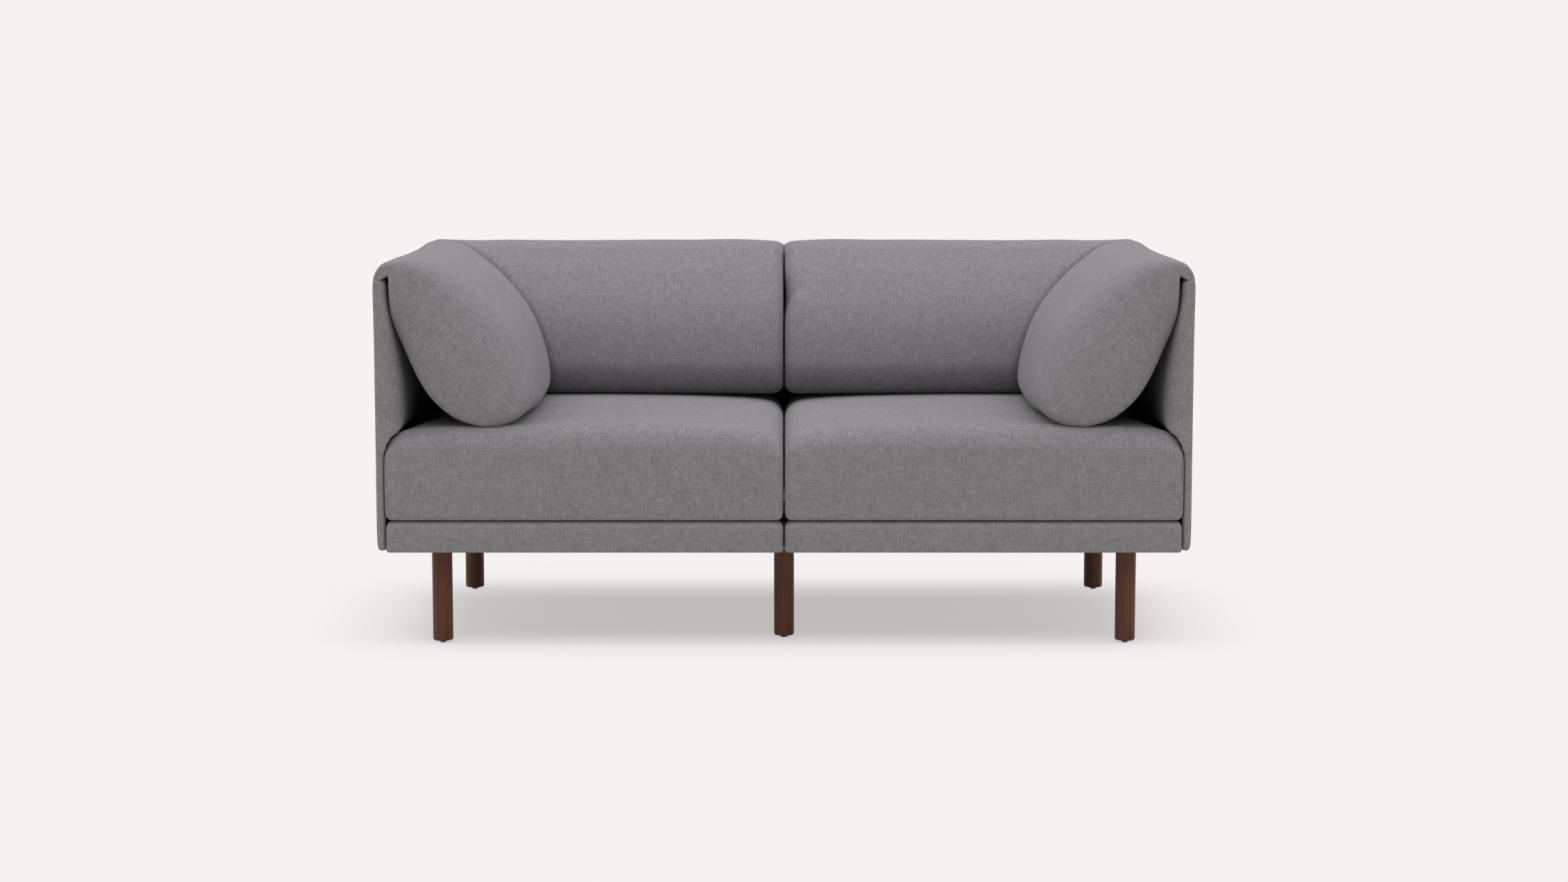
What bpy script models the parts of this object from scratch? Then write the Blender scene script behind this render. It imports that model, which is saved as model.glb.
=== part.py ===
"""Two-seater sofa made of two mirrored corner modules that stand side by side on six turned legs.

Each module is a webbed timber base with an upholstered cover, a thin arm panel and a thin back panel that
meet in a mitre at the rear corner, a loose seat cushion, and an arm and a back cushion that hang from the
tops of their panels by a sewn flap and lean on the seat.

Metres. X runs to the viewer's right, Y to the back and Z up. The origin is on the floor, in the middle.
"""

import math

import bmesh
import bpy
from mathutils import Vector

for old_object in list(bpy.data.objects):
    bpy.data.objects.remove(old_object, do_unlink=True)

# Whole sofa
sofa_width = 1.598
sofa_depth = 0.860
arm_height = 0.755
module_gap = 0.0024
contact_gap = 0.0003
mitre_gap = 0.0005
cut_overrun = 0.010

# Upholstered base
base_underside = 0.188
base_height = 0.0636
base_wall = 0.006
base_deck = 0.0045
base_corner_radius = 0.008
base_corner_segments = 3
rail_thickness = 0.020
leg_board_thickness = 0.020
front_leg_board_width = 0.118
rear_leg_board_width = 0.100
dust_cover_thickness = 0.001
dust_cover_recess = 0.0012

# Seat webbing
strap_width = 0.080
strap_thickness = 0.0016
strap_end_margin = 0.003
long_strap_count = 3
cross_strap_count = 2

# Legs, their glides and the plates that join the modules
leg_diameter = 0.040
leg_edge_radius = 0.0025
leg_side_inset = 0.122
front_leg_inset = 0.060
centre_leg_inset = 0.115
rear_leg_inset = 0.181
stud_diameter = 0.008
stud_length = 0.020
stud_chamfer = 0.001
glide_diameter = 0.015
glide_flat_diameter = 0.008
glide_rise = 0.0035
glide_pin_diameter = 0.003
glide_pin_length = 0.014
join_plate_length = 0.120
join_plate_width = 0.080
join_plate_thickness = 0.003
join_plate_corner = 0.010

# Arm and back panels
panel_foot_thickness = 0.017
panel_head_thickness = 0.0235
panel_foot_height = 0.440
panel_underside = 0.1928
panel_edge_radius = 0.0070
panel_front_inset = 0.005
panel_wall = 0.004
board_thickness = 0.009
board_corner_radius = 0.012

# Flap that hangs a cushion from the top of its panel
flap_height = 0.0335
flap_crown = 0.0050
flap_end_radius = 0.006

# Arm and back cushions
hung_cushion_reach = 0.299
hung_cushion_swell = 0.004
hung_cushion_end_radius = 0.036
hung_cushion_front_inset = 0.004
hung_cushion_side_gap = 0.0010

# Seat cushions
seat_cushion_thickness = 0.1856
seat_cushion_clearance = 0.0012
seat_front_roll = 0.048
seat_side_roll = 0.092
seat_lower_radius = 0.010
seat_corner_radius = 0.030
seat_side_draw = 0.003
seat_side_shares = (0.2, 0.5, 0.8)

# Outline of a hung cushion: shares of its reach, from the panel, and of its drop, from the seat.
# It runs from its seam over the crest, down the leaning face, along the seat and up the hanging side.
hung_outline_shares = (
    (0.000, 0.986),
    (0.072, 1.000),
    (0.182, 0.994),
    (0.332, 0.963),
    (0.435, 0.917),
    (0.566, 0.839),
    (0.693, 0.746),
    (0.817, 0.612),
    (0.923, 0.421),
    (0.985, 0.246),
    (1.000, 0.118),
    (0.967, 0.032),
    (0.894, 0.003),
    (0.685, 0.000),
    (0.535, 0.013),
    (0.362, 0.093),
    (0.203, 0.269),
    (0.087, 0.499),
    (0.028, 0.644),
    (0.006, 0.772),
    (0.001, 0.868),
)

# Upper part of a seat cushion: share of its roll that is drawn in, and share of the roll's height.
seat_roll_shares = (
    (0.00, 0.00),
    (0.07, 0.33),
    (0.24, 0.62),
    (0.50, 0.83),
    (0.85, 0.94),
    (1.60, 1.00),
)

round_facets = 32
small_facets = 16
corner_facets = 4
arc_facets = 6
end_stations = 5
body_stations = 5
rigid_smooth_angle = 40
hung_smooth_angle = 50
seat_smooth_angle = 60
edge_run_share = 0.5

half_width = sofa_width / 2
half_depth = sofa_depth / 2
base_top = base_underside + base_height
base_inner = module_gap / 2
base_outer = half_width - panel_foot_thickness - contact_gap
base_front = -half_depth
base_rear = half_depth - panel_foot_thickness - contact_gap
deck_underside = base_top - base_deck
strap_rise = (strap_thickness + contact_gap) / 2
strap_level = deck_underside - contact_gap - strap_thickness / 2 - strap_rise
rail_top = strap_level - strap_thickness / 2 - contact_gap
dust_cover_low = base_underside + dust_cover_recess
rail_low = dust_cover_low + dust_cover_thickness + contact_gap
frame_inner = base_inner + base_wall + contact_gap
frame_outer = base_outer - base_wall - contact_gap
frame_front = base_front + base_wall + contact_gap
frame_rear = base_rear - base_wall - contact_gap
seat_low = base_top + contact_gap
seat_top = seat_low + seat_cushion_thickness
hung_low = seat_top + contact_gap
flap_low = arm_height - flap_height
panel_top = flap_low - contact_gap
hung_start = panel_head_thickness + hung_cushion_side_gap
arm_end = sofa_depth - panel_front_inset
back_end = half_width - module_gap / 2


def material(name, color, roughness, metallic=0.0):
    made = bpy.data.materials.new(name)
    made.use_nodes = True
    made.diffuse_color = (*color, 1.0)
    shader = made.node_tree.nodes["Principled BSDF"]
    shader.inputs["Base Color"].default_value = (*color, 1.0)
    shader.inputs["Roughness"].default_value = roughness
    shader.inputs["Metallic"].default_value = metallic
    return made


fabric = material("woven_grey_fabric", (0.205, 0.197, 0.196), 0.92)
walnut = material("dark_walnut", (0.088, 0.042, 0.028), 0.42)
timber = material("frame_timber", (0.55, 0.40, 0.24), 0.70)
elastic = material("webbing", (0.05, 0.05, 0.055), 0.85)
lining = material("dust_cover_lining", (0.02, 0.02, 0.022), 0.95)
steel = material("zinc_steel", (0.55, 0.56, 0.57), 0.35, 1.0)
nylon = material("black_nylon", (0.015, 0.015, 0.016), 0.45)


def add_object(name, bm, finish, origin, parent=None, smooth_angle=None):
    """Makes an object from world points, with its own origin, facing out."""
    bmesh.ops.recalc_face_normals(bm, faces=bm.faces)
    bmesh.ops.translate(bm, verts=bm.verts, vec=-Vector(origin))
    mesh = bpy.data.meshes.new(name)
    bm.to_mesh(mesh)
    bm.free()
    mesh.materials.append(finish)
    if smooth_angle is not None:
        mesh.shade_smooth()
        mesh.set_sharp_from_angle(angle=math.radians(smooth_angle))
    made = bpy.data.objects.new(name, mesh)
    bpy.context.scene.collection.objects.link(made)
    made.location = origin
    if parent:
        made.parent = parent
        made.location = Vector(origin) - parent.location
    return made


def skin(rings):
    """A closed body through rings of equally many points, with a face over the first and the last."""
    bm = bmesh.new()
    loops = [[bm.verts.new(point) for point in ring] for ring in rings]
    for near, far in zip(loops, loops[1:]):
        for i in range(len(near)):
            j = (i + 1) % len(near)
            bm.faces.new((near[i], near[j], far[j], far[i]))
    bm.faces.new(loops[0])
    bm.faces.new(loops[-1])
    return bm


def turned(profile, centre, facets):
    """A body of revolution about the vertical through centre; the profile is (radius, height) pairs."""
    turns = [2 * math.pi * i / facets for i in range(facets)]
    return skin(
        [
            [(centre[0] + radius * math.cos(a), centre[1] + radius * math.sin(a), height) for a in turns]
            for radius, height in profile
        ]
    )


def box(low, high):
    bm = bmesh.new()
    bmesh.ops.create_cube(bm, size=1)
    low, high = Vector(low), Vector(high)
    bmesh.ops.scale(bm, verts=bm.verts, vec=high - low)
    bmesh.ops.translate(bm, verts=bm.verts, vec=(low + high) / 2)
    return bm


def sided(side, low, high):
    """Low and high corners of a box given for the right module, on the side that is asked for."""
    return (
        (min(side * low[0], side * high[0]), low[1], low[2]),
        (max(side * low[0], side * high[0]), high[1], high[2]),
    )


def middle(low, high):
    return tuple((a + b) / 2 for a, b in zip(low, high))


def block(name, side, low, high, finish, radius=0):
    low, high = sided(side, low, high)
    made = add_object(name, box(low, high), finish, middle(low, high))
    if radius:
        bevel = made.modifiers.new("edges", "BEVEL")
        bevel.width = radius
        bevel.segments = base_corner_segments
    return made


def cut(target, bm, name):
    """Takes a shape out of the target and keeps the cutter as a hidden helper."""
    cutter = add_object(name, bm, timber, target.location)
    cutter.hide_render = True
    cutter.display_type = "WIRE"
    boolean = target.modifiers.new(name, "BOOLEAN")
    boolean.operation = "DIFFERENCE"
    boolean.solver = "EXACT"
    boolean.object = cutter


def arm_place(side):
    """Maps run along a panel, distance from its outer face and height to world, for an arm."""
    return lambda run, away, height: Vector((side * (half_width - away), half_depth - run, height))


def back_place(side):
    return lambda run, away, height: Vector((side * (half_width - run), half_depth - away, height))


def swept(outline, end, end_radius, place, swell=0):
    """Sweeps an outline of (away, height) from the corner mitre to a rounded end."""
    aways = [away for away, height in outline]
    heights = [height for away, height in outline]
    mid_away = (min(aways) + max(aways)) / 2
    mid_height = (min(heights) + max(heights)) / 2
    half_away = (max(aways) - min(aways)) / 2
    half_height = (max(heights) - min(heights)) / 2
    rings = [[place(away + mitre_gap / 2, away, height) for away, height in outline]]
    straight = end - end_radius
    first = max(aways)
    for i in range(1, body_stations):
        share = i / body_stations
        run = first + (straight - first) * share
        crown = swell * math.sin(math.pi * share)
        grown = 1 + crown / (2 * half_away)
        rings.append([place(run, aways[0] + (away - aways[0]) * grown, height) for away, height in outline])
    for i in range(end_stations):
        turn = math.pi / 2 * i / end_stations
        inset = end_radius * (1 - math.cos(turn))
        run = straight + end_radius * math.sin(turn)
        narrow = 1 - inset / half_away
        low = 1 - inset / half_height
        rings.append(
            [
                place(run, mid_away + (away - mid_away) * narrow, mid_height + (height - mid_height) * low)
                for away, height in outline
            ]
        )
    return skin(rings)


def corner_arc(centre, radius, start, facets=corner_facets):
    """Quarter of a circle, clockwise from the start angle in degrees."""
    return [
        (
            centre[0] + radius * math.cos(math.radians(start - 90 * i / facets)),
            centre[1] + radius * math.sin(math.radians(start - 90 * i / facets)),
        )
        for i in range(facets + 1)
    ]


def panel_outline():
    """Panel in section: upright outside, thicker at its head than at its foot, round at the lower edges."""
    radius = panel_edge_radius
    lower_outside = corner_arc((radius, panel_underside + radius), radius, 270)
    lower_inside = corner_arc((panel_foot_thickness - radius, panel_underside + radius), radius, 0)
    return (
        lower_outside
        + [(0, panel_top), (panel_head_thickness, panel_top), (panel_foot_thickness, panel_foot_height)]
        + lower_inside
    )


def flap_outline():
    """Flap in section: flat on the panel's head, with a round outer shoulder that rises to the seam."""
    shoulder = []
    rise = arm_height - flap_crown - flap_low - contact_gap
    for i in range(arc_facets + 1):
        turn = math.pi / 2 * i / arc_facets
        away = (hung_start - contact_gap) * (1 - math.cos(turn))
        shoulder.append((away, flap_low + contact_gap + rise * math.sin(turn)))
    return [(0, flap_low)] + shoulder + [(hung_start - contact_gap, flap_low)]


def hung_outline():
    reach = hung_cushion_reach - hung_start
    drop = arm_height - hung_low
    outline = [(hung_start, flap_low)]
    for away_share, height_share in hung_outline_shares:
        outline.append((hung_start + reach * away_share, hung_low + drop * height_share))
    return outline


def make_panel(name, side, place, end):
    sleeve = add_object(
        name + "_panel_cover",
        swept(panel_outline(), end, panel_edge_radius, place),
        fabric,
        place(end / 2, panel_foot_thickness / 2, panel_underside),
        smooth_angle=rigid_smooth_angle,
    )
    low_run = panel_foot_thickness + panel_wall + board_thickness
    high_run = end - panel_wall - panel_edge_radius
    board_top = panel_top - panel_wall
    pocket = (
        (low_run - contact_gap, panel_wall - contact_gap, panel_underside - cut_overrun),
        (high_run + contact_gap, panel_wall + board_thickness + contact_gap, board_top + contact_gap),
    )
    corners = [place(*pocket[0]), place(*pocket[1])]
    low = [min(a, b) for a, b in zip(*corners)]
    high = [max(a, b) for a, b in zip(*corners)]
    cut(sleeve, box(low, high), name + "_pocket_cutter")
    corners = [
        place(low_run, panel_wall, panel_underside + panel_edge_radius),
        place(high_run, panel_wall + board_thickness, board_top),
    ]
    low = [min(a, b) for a, b in zip(*corners)]
    high = [max(a, b) for a, b in zip(*corners)]
    board = add_object(name + "_panel_board", box(low, high), timber, middle(low, high))
    across = 0 if high[0] - low[0] < high[1] - low[1] else 1
    round_board_corners(board, across)


def run_of(edge):
    """Direction of a mesh edge."""
    return (edge.verts[0].co - edge.verts[1].co).normalized()


def round_board_corners(board, across):
    """Rounds the four edges that run through the board's thickness, at its corners."""
    bm = bmesh.new()
    bm.from_mesh(board.data)
    edges = [e for e in bm.edges if abs(run_of(e)[across]) > edge_run_share]
    bmesh.ops.bevel(bm, geom=edges, offset=board_corner_radius, segments=corner_facets, affect="EDGES")
    bm.to_mesh(board.data)
    bm.free()


def make_hung_cushion(name, place, end):
    """A cushion and its flap, on one empty at the seam that they hang from."""
    seam = bpy.data.objects.new(name + "_cushion_lift", None)
    seam.location = place(end / 2, hung_start, flap_low)
    bpy.context.scene.collection.objects.link(seam)
    add_object(
        name + "_cushion",
        swept(hung_outline(), end, hung_cushion_end_radius, place, hung_cushion_swell),
        fabric,
        seam.location,
        seam,
        smooth_angle=hung_smooth_angle,
    )
    add_object(
        name + "_cushion_flap",
        swept(flap_outline(), end, flap_end_radius, place),
        fabric,
        seam.location,
        seam,
        smooth_angle=hung_smooth_angle,
    )


def drawn_rectangle(low, high, radius, draw, height):
    """A rectangle with round corners, whose sides pull in between them."""
    points = []
    corners = (
        (high[0] - radius, high[1] - radius, 0),
        (low[0] + radius, high[1] - radius, 90),
        (low[0] + radius, low[1] + radius, 180),
        (high[0] - radius, low[1] + radius, 270),
    )
    for index, (x, y, start) in enumerate(corners):
        for i in range(corner_facets + 1):
            turn = math.radians(start + 90 * i / corner_facets)
            points.append((x + radius * math.cos(turn), y + radius * math.sin(turn), height))
        ahead = corners[(index + 1) % len(corners)]
        leave = math.radians(start + 90)
        out = (math.cos(leave), math.sin(leave))
        for share in seat_side_shares:
            pull = radius - draw * math.sin(math.pi * share)
            along_x = x + (ahead[0] - x) * share
            along_y = y + (ahead[1] - y) * share
            points.append((along_x + out[0] * pull, along_y + out[1] * pull, height))
    return points


def make_seat_cushion(name, side):
    low_x = base_inner + seat_cushion_clearance
    high_x = base_outer - seat_cushion_clearance
    low_y = base_front + contact_gap
    high_y = half_depth - panel_head_thickness - seat_cushion_clearance

    def ring(inset_x, inset_y, height):
        low = (low_x + inset_x, low_y + inset_y)
        high = (high_x - inset_x, high_y - inset_y)
        radius = seat_corner_radius + min(inset_x, inset_y)
        return [
            (side * x, y, z) for x, y, z in drawn_rectangle(low, high, radius, seat_side_draw, height)
        ]

    rings = []
    for i in range(corner_facets):
        turn = math.pi / 2 * i / corner_facets
        inset = seat_lower_radius * (1 - math.sin(turn))
        rings.append(ring(inset, inset, seat_low + seat_lower_radius * (1 - math.cos(turn))))
    roll_start = seat_top - seat_front_roll
    for drawn_share, risen_share in seat_roll_shares:
        height = roll_start + seat_front_roll * risen_share
        rings.append(ring(seat_side_roll * drawn_share, seat_front_roll * drawn_share, height))
    middle_x = side * (low_x + high_x) / 2
    seat = bpy.data.objects.new(name + "_pull", None)
    seat.location = (middle_x, low_y, seat_low)
    bpy.context.scene.collection.objects.link(seat)
    add_object(name, skin(rings), fabric, seat.location, seat, smooth_angle=seat_smooth_angle)


def make_straps(module, side):
    """Elastic webbing, woven over and under, with its ends on the tops of the rails."""

    def spread(low, high, count):
        return [low + (high - low) * (i + 1) / (count + 1) for i in range(count)]

    long_places = spread(frame_inner + rail_thickness, frame_outer - rail_thickness, long_strap_count)
    cross_places = spread(frame_front + rail_thickness, frame_rear - rail_thickness, cross_strap_count)

    def path(low, high, crossings, over_first):
        levels = [(low + strap_end_margin, 0), (low + rail_thickness, 0)]
        for index, crossing in enumerate(crossings):
            lift = strap_rise if (index % 2 == 0) == over_first else -strap_rise
            levels.append((crossing - strap_width / 2, lift))
            levels.append((crossing + strap_width / 2, lift))
        return levels + [(high - rail_thickness, 0), (high - strap_end_margin, 0)]

    half_thickness = strap_thickness / 2
    edges = ((-1, -1), (1, -1), (1, 1), (-1, 1))
    for index, place in enumerate(long_places):
        rings = []
        for run, lift in path(frame_front, frame_rear, cross_places, index % 2 == 0):
            level = strap_level + lift
            rings.append(
                [(side * (place + a * strap_width / 2), run, level + b * half_thickness) for a, b in edges]
            )
        name = f"{module}_long_strap_{index + 1}"
        add_object(name, skin(rings), elastic, (side * place, frame_front, strap_level))
    for index, place in enumerate(cross_places):
        rings = []
        for run, lift in path(frame_inner, frame_outer, long_places, index % 2 == 1):
            level = strap_level + lift
            rings.append(
                [(side * run, place + a * strap_width / 2, level + b * half_thickness) for a, b in edges]
            )
        name = f"{module}_cross_strap_{index + 1}"
        add_object(name, skin(rings), elastic, (side * frame_inner, place, strap_level))


def make_base(module, side):
    cover = block(
        module + "_base_cover",
        side,
        (base_inner, base_front, base_underside),
        (base_outer, base_rear, base_top),
        fabric,
        base_corner_radius,
    )
    low, high = sided(
        side,
        (base_inner + base_wall, base_front + base_wall, base_underside - cut_overrun),
        (base_outer - base_wall, base_rear - base_wall, deck_underside),
    )
    cut(cover, box(low, high), module + "_base_hollow_cutter")
    block(
        module + "_front_rail",
        side,
        (frame_inner, frame_front, rail_low),
        (frame_outer, frame_front + rail_thickness, rail_top),
        timber,
    )
    block(
        module + "_rear_rail",
        side,
        (frame_inner, frame_rear - rail_thickness, rail_low),
        (frame_outer, frame_rear, rail_top),
        timber,
    )
    side_front = frame_front + rail_thickness + contact_gap
    side_rear = frame_rear - rail_thickness - contact_gap
    block(
        module + "_inner_rail",
        side,
        (frame_inner, side_front, rail_low),
        (frame_inner + rail_thickness, side_rear, rail_top),
        timber,
    )
    block(
        module + "_outer_rail",
        side,
        (frame_outer - rail_thickness, side_front, rail_low),
        (frame_outer, side_rear, rail_top),
        timber,
    )
    board_inner = frame_inner + rail_thickness + contact_gap
    board_outer = frame_outer - rail_thickness - contact_gap
    rear_leg_y = half_depth - rear_leg_inset
    spans = {
        "front": (side_front, side_front + front_leg_board_width),
        "rear": (rear_leg_y - rear_leg_board_width / 2, rear_leg_y + rear_leg_board_width / 2),
    }
    leg_x = side * (half_width - leg_side_inset)
    leg_places = {"front": base_front + front_leg_inset, "rear": rear_leg_y}
    for end, (start, stop) in spans.items():
        board = block(
            f"{module}_{end}_leg_board",
            side,
            (board_inner, start, rail_low),
            (board_outer, stop, rail_low + leg_board_thickness),
            timber,
        )
        hole = stud_hole((leg_x, leg_places[end]), rail_low, leg_board_thickness)
        cut(board, hole, f"{module}_{end}_bolt_cutter")
    lining_sheet = block(
        module + "_dust_cover",
        side,
        (frame_inner, frame_front, dust_cover_low),
        (frame_outer, frame_rear, dust_cover_low + dust_cover_thickness),
        lining,
    )
    for end, leg_y in leg_places.items():
        hole = stud_hole((leg_x, leg_y), dust_cover_low, dust_cover_thickness)
        cut(lining_sheet, hole, f"{module}_{end}_lining_cutter")


def stud_hole(centre, low, thickness):
    radius = stud_diameter / 2 + contact_gap
    profile = ((radius, low - cut_overrun), (radius, low + thickness + cut_overrun))
    return turned(profile, centre, small_facets)


def make_leg(name, centre, top, stud):
    """A plain turned leg with its stud, and a nailed glide in the middle of its foot."""
    radius = leg_diameter / 2
    pin_hole = glide_pin_diameter / 2 + contact_gap
    profile = [(pin_hole, glide_rise + glide_pin_length + contact_gap), (pin_hole, glide_rise)]
    for i in range(corner_facets + 1):
        turn = math.pi / 2 * i / corner_facets
        profile.append(
            (
                radius - leg_edge_radius * (1 - math.sin(turn)),
                glide_rise + leg_edge_radius * (1 - math.cos(turn)),
            )
        )
    profile += [
        (radius, top),
        (stud_diameter / 2, top),
        (stud_diameter / 2, top + stud - stud_chamfer),
        (stud_diameter / 2 - stud_chamfer, top + stud),
    ]
    turned_leg = turned(profile, centre, round_facets)
    add_object(name + "_leg", turned_leg, walnut, (*centre, 0), smooth_angle=rigid_smooth_angle)
    dome = []
    glide_face = glide_rise - contact_gap
    for i in range(corner_facets + 1):
        turn = math.pi / 2 * i / corner_facets
        spread = (glide_diameter - glide_flat_diameter) / 2 * math.sin(turn)
        dome.append((glide_flat_diameter / 2 + spread, glide_face * (1 - math.cos(turn))))
    pin = glide_pin_diameter / 2
    profile = dome + [(pin, glide_face), (pin, glide_rise + glide_pin_length)]
    turned_glide = turned(profile, centre, small_facets)
    add_object(name + "_glide", turned_glide, nylon, (*centre, 0), smooth_angle=rigid_smooth_angle)


def make_join_plate(name, centre):
    """Steel plate under the inner rails of both modules, which carries a centre leg."""
    high = base_underside - contact_gap
    low = high - join_plate_thickness
    half_length = join_plate_length / 2
    half_plate = join_plate_width / 2
    plate = add_object(
        name,
        box(
            (centre[0] - half_length, centre[1] - half_plate, low),
            (centre[0] + half_length, centre[1] + half_plate, high),
        ),
        steel,
        (*centre, low),
    )
    bm = bmesh.new()
    bm.from_mesh(plate.data)
    upright = [e for e in bm.edges if abs(run_of(e).z) > edge_run_share]
    bmesh.ops.bevel(bm, geom=upright, offset=join_plate_corner, segments=corner_facets, affect="EDGES")
    bm.to_mesh(plate.data)
    bm.free()
    cut(plate, stud_hole(centre, low, join_plate_thickness), name + "_cutter")
    return low


for module, side in (("left", -1), ("right", 1)):
    make_base(module, side)
    make_straps(module, side)
    make_panel(module + "_arm", side, arm_place(side), arm_end)
    make_panel(module + "_back", side, back_place(side), back_end)
    make_hung_cushion(module + "_arm", arm_place(side), sofa_depth - hung_cushion_front_inset)
    make_hung_cushion(module + "_back", back_place(side), back_end)
    make_seat_cushion(module + "_seat_cushion", side)
    outer_leg_top = dust_cover_low - contact_gap
    outer_leg_x = side * (half_width - leg_side_inset)
    make_leg(module + "_front", (outer_leg_x, base_front + front_leg_inset), outer_leg_top, stud_length)
    make_leg(module + "_rear", (outer_leg_x, half_depth - rear_leg_inset), outer_leg_top, stud_length)

for end, leg_y in (("front", base_front + centre_leg_inset), ("rear", half_depth - rear_leg_inset)):
    plate_low = make_join_plate(f"centre_{end}_join_plate", (0, leg_y))
    make_leg(f"centre_{end}", (0, leg_y), plate_low - contact_gap, join_plate_thickness + contact_gap)
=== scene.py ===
"""Dressed two-seater sofa: upholstery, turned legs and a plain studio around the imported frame.

Metres, in the frame's own axes: X to the viewer's right, Y to the back, Z up. Each panel has corner
coordinates: the run along it from the sofa's rear corner, the distance away from its outer face, and
the height. The arm and the back of a module are alike in these coordinates, and meet in a mitre.
"""

import math

import bmesh
import bpy
import numpy as np
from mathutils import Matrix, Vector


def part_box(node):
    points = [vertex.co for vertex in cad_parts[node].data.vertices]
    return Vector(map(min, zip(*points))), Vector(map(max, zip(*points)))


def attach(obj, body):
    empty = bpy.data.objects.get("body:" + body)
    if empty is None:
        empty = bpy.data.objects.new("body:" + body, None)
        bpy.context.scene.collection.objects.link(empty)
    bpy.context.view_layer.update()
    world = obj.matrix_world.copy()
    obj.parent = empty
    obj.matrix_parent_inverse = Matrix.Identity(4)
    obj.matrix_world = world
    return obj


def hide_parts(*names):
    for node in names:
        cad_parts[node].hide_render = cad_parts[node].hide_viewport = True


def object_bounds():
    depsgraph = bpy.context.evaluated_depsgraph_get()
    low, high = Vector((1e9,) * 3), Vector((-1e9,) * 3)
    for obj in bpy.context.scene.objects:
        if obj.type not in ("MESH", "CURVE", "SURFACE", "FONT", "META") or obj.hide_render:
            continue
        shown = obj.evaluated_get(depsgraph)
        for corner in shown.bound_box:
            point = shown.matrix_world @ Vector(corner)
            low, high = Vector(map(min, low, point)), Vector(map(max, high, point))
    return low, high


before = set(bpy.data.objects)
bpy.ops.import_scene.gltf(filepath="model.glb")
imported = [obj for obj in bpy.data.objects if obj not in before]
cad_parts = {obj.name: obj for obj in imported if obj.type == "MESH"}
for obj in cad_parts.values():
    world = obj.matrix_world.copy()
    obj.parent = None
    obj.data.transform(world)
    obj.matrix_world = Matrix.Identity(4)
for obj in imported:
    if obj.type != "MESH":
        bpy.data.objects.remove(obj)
cad_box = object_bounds()

half_width = cad_box[1].x
half_depth = cad_box[1].y
seat_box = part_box("right_seat_cushion")
base_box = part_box("right_base_cover")
panel_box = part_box("right_arm_panel_cover")
arm_end = half_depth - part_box("right_arm_cushion")[0].y
# A back cushion reaches this much nearer to the middle than its node.
back_bulge = 0.0030
back_end = half_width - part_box("right_back_cushion")[0].x + back_bulge
panel_arm_end = half_depth - panel_box[0].y
panel_low = panel_box[0].z
panel_top = panel_box[1].z
seat_rest = seat_box[0].z
seat_top = seat_box[1].z
quarter = math.pi / 2
# An arm's piece and a back's piece each stop this far short of the mitre between them.
mitre_gap = 0.00025

# Camera, found by fitting the sofa's outline in the photograph: degrees below level, and millimetres.
camera_place = (0.0, -6.246, 1.128)
camera_pitch = 7.04
camera_lens = 68.955

# Colour of the floor and the backdrop as they are seen, and the sky's light on the sofa.
backdrop_color = (0.905, 0.896, 0.879)
sky_strength = 0.22
# Name, strength, angle across the lamp, tilt towards the viewer and turn, in degrees.
lamps = (
    ("overhead", 1.68, 75, 14, 0),
    ("left_side", 0.91, 60, 45, -90),
    ("right_side", 0.91, 60, 45, 90),
)
# The floor's own colour near the sofa, which takes its shadow, the light that falls on it, and what it
# throws back at the sofa. Its glow makes up the rest of the backdrop's colour.
floor_color = (0.36, 0.357, 0.350)
floor_light = 1.141
floor_bounce = (0.80, 0.793, 0.780)
# Where the shadow fades, to both sides, the front and the rear: the axis, the way along it, and how far
# from the middle that starts and ends.
shadow_fades = ((0, 1, 0.66, 1.04), (1, -1, 0.26, 0.66), (1, 1, 0.08, 0.52))
shadow_least = 0.10
floor_half = 40.0


def material(name):
    """A new node material with its shader and its tree."""
    made = bpy.data.materials.new(name)
    made.use_nodes = True
    tree = made.node_tree
    return made, tree.nodes["Principled BSDF"], tree


def set_inputs(made, **values):
    """Sets a node's inputs by name, with underscores for the spaces in it."""
    for key, value in values.items():
        made.inputs[key.replace("_", " ")].default_value = value


def node(tree, kind, **values):
    """A node with its properties and its inputs set by name."""
    made = tree.nodes.new(kind)
    for key, value in values.items():
        if hasattr(made, key):
            setattr(made, key, value)
        else:
            set_inputs(made, **{key: value})
    return made


def feed(tree, socket, value):
    """Links another socket to a socket, or sets it to a number or a colour."""
    if isinstance(value, bpy.types.NodeSocket):
        tree.links.new(value, socket)
    else:
        socket.default_value = (*value, 1) if socket.type == "RGBA" else value


def result(tree, kind, *values, **settings):
    """The first output of a new node whose first inputs take these sockets, numbers or colours."""
    made = node(tree, kind, **settings)
    for socket, value in zip(made.inputs, values):
        feed(tree, socket, value)
    return made.outputs[0]


def math_node(tree, operation, *values, **settings):
    """The output of a Math node on sockets or numbers."""
    return result(tree, "ShaderNodeMath", *values, operation=operation, **settings)


def noise_of(tree, vector, scale=1.0, detail=2.0, roughness=0.5):
    """Noise over a vector, mostly between 0.2 and 0.8."""
    return result(tree, "ShaderNodeTexNoise", vector, Scale=scale, Detail=detail, Roughness=roughness)


def ramp(tree, shader, factor, *stops):
    """Gives the shader its base colour from a factor, by colours at places from 0 to 1."""
    made = node(tree, "ShaderNodeValToRGB")
    elements = made.color_ramp.elements
    while len(elements) < len(stops):
        elements.new(0.5)
    for element, (place, color) in zip(elements, stops):
        element.position = place
        element.color = (*color, 1.0)
    feed(tree, made.inputs["Fac"], factor)
    feed(tree, shader.inputs["Base Color"], made.outputs["Color"])


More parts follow.
